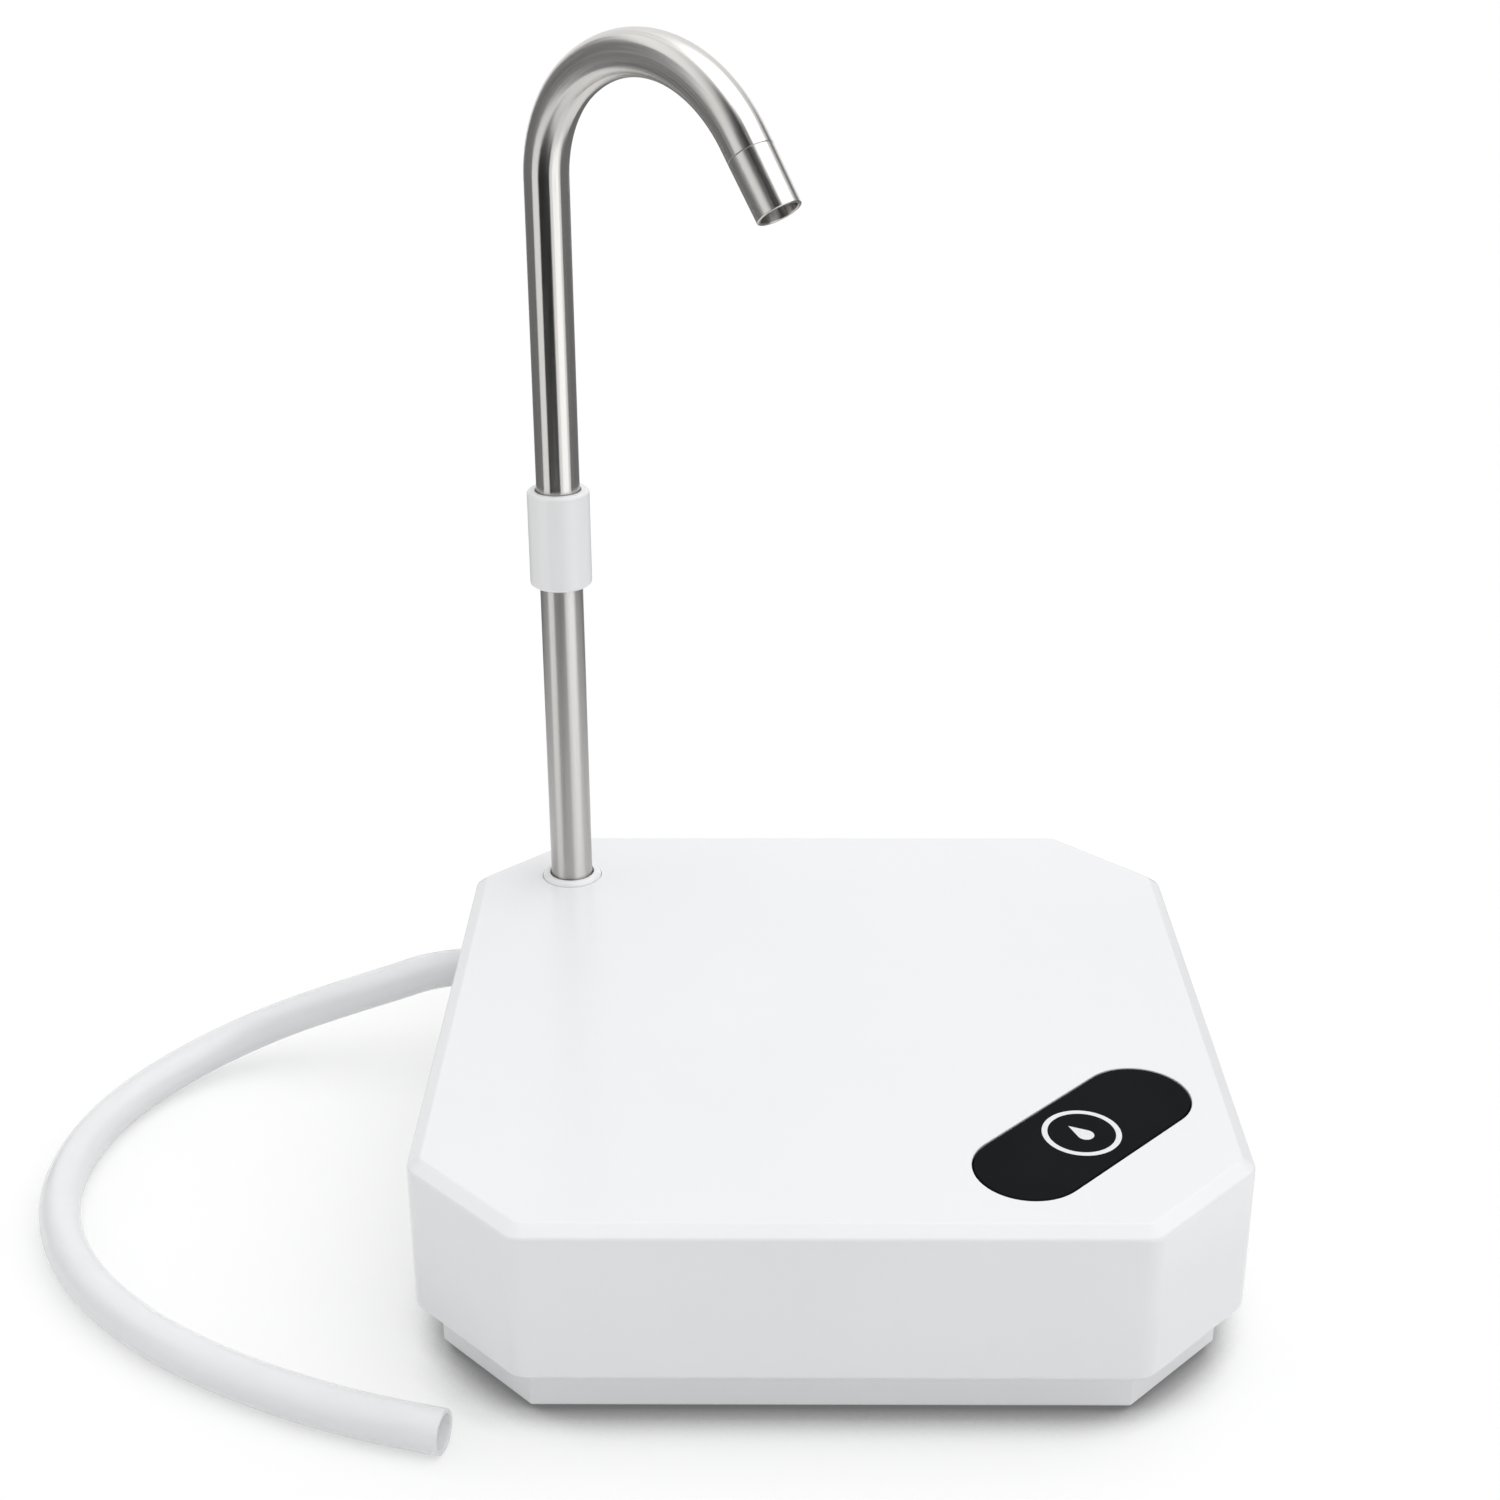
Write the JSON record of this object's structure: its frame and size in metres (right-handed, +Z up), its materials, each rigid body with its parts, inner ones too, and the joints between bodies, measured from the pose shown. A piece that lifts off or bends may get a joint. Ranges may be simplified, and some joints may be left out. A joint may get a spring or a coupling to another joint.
{
  "type": "electric water jug pump",
  "caption": "Square casing with cut corners, a flush pill-shaped key, a swivelling stainless gooseneck spout and a clear suction hose, with a gear pump inside.",
  "frame": {"origin": "centre of the casing's footprint, on the surface its feet stand on", "axes": "+Z up, -Y towards the side with the key's front corner, +X to the right seen from there"},
  "size_m": [0.2597, 0.1782, 0.2508],
  "materials": {
    "white": "satin white moulded plastic",
    "key_black": "satin black plastic",
    "stainless": "drawn stainless tube",
    "foot_rubber": "matte rubber",
    "seal_rubber": "moulded seal rubber",
    "silicone": "milky clear silicone",
    "steel": "plated steel",
    "pump_plastic": "moulded acetal",
    "gear_nylon": "moulded nylon",
    "black_plastic": "moulded black plastic",
    "board_green": "solder-masked board",
    "plug_white": "natural nylon",
    "coil_grey": "ferrite and grey plastic",
    "wire_red": "red wire sleeve",
    "wire_black": "black wire sleeve",
    "wire_grey": "grey flat lead",
    "cell": "shrink-wrapped cell"
  },
  "bodies": {
    "base": {"top_shell": "white", "base_plate": "white", "spout_socket": "white", "hose_fitting": "white", "foot_1": "foot_rubber", "foot_2": "foot_rubber", "foot_3": "foot_rubber", "foot_4": "foot_rubber", "shaft_seal": "seal_rubber", "suction_hose": "silicone", "inlet_hose": "silicone", "outlet_hose": "silicone", "case_screw_1": "steel", "case_screw_2": "steel", "case_screw_3": "steel", "case_screw_4": "steel", "cover_screw_1": "steel", "cover_screw_2": "steel", "clamp_screw_1": "steel", "clamp_screw_2": "steel", "board_screw_1": "steel", "board_screw_2": "steel", "key_screw_1": "steel", "key_screw_2": "steel", "motor_can": "steel", "motor_clamp": "steel", "idler_pin": "steel", "contact_plus": "steel", "contact_spring": "steel", "usb_socket": "steel", "pump_housing": "pump_plastic", "pump_cover": "pump_plastic", "motor_end_cap": "black_plastic", "battery_holder": "black_plastic", "switch_body": "black_plastic", "driver_chip": "black_plastic", "main_board": "board_green", "key_board": "board_green", "motor_plug": "plug_white", "battery_plug": "plug_white", "boost_coil": "coil_grey", "motor_lead_red": "wire_red", "battery_lead_red": "wire_red", "motor_lead_black": "wire_black", "battery_lead_black": "wire_black", "key_lead": "wire_grey", "battery_cell": "cell"},
    "seals": {"socket_ring_lower": "seal_rubber", "socket_ring_upper": "seal_rubber"},
    "riser": {"riser_tube": "stainless"},
    "collar": {"tube_collar": "white", "collar_ring_lower": "seal_rubber", "collar_ring_upper": "seal_rubber"},
    "gooseneck": {"gooseneck_tube": "stainless", "spout_tip": "stainless"},
    "key": {"power_key": "key_black", "switch_plunger": "coil_grey"},
    "rotor": {"motor_shaft": "steel", "drive_gear": "gear_nylon"},
    "idler": {"driven_gear": "gear_nylon"}
  },
  "joints": [
    {"name": "riser_swivel", "type": "hinge", "parent": "base", "child": "seals", "pos_m": [-0.06055, 0.0614, 0.0469], "axis": [0, 0, 1], "continuous": true},
    {"name": "riser_lift", "type": "slide", "parent": "seals", "child": "riser", "axis": [0, 0, 1], "range_m": [0, 0.03]},
    {"name": "collar_swivel", "type": "hinge", "parent": "riser", "child": "collar", "pos_m": [-0.06055, 0.0614, 0.1347], "axis": [0, 0, 1], "continuous": true},
    {"name": "gooseneck_lift", "type": "slide", "parent": "collar", "child": "gooseneck", "axis": [0, 0, 1], "range_m": [0, 0.02]},
    {"name": "key_press", "type": "slide", "parent": "base", "child": "key", "axis": [0, 0, -1], "range_m": [0, 0.0008], "stiffness_N_per_m": 1200, "springref_m": -0.0005},
    {"name": "rotor_spin", "type": "hinge", "parent": "base", "child": "rotor", "pos_m": [-0.012, 0.015, 0.02], "axis": [1, 0, 0], "continuous": true},
    {"name": "idler_spin", "type": "hinge", "parent": "base", "child": "idler", "pos_m": [-0.012, 0.015, 0.02968], "axis": [1, 0, 0], "continuous": true}
  ],
  "couplings": [
    {"joint": "idler_spin", "follows": "rotor_spin", "ratio": -1}
  ]
}
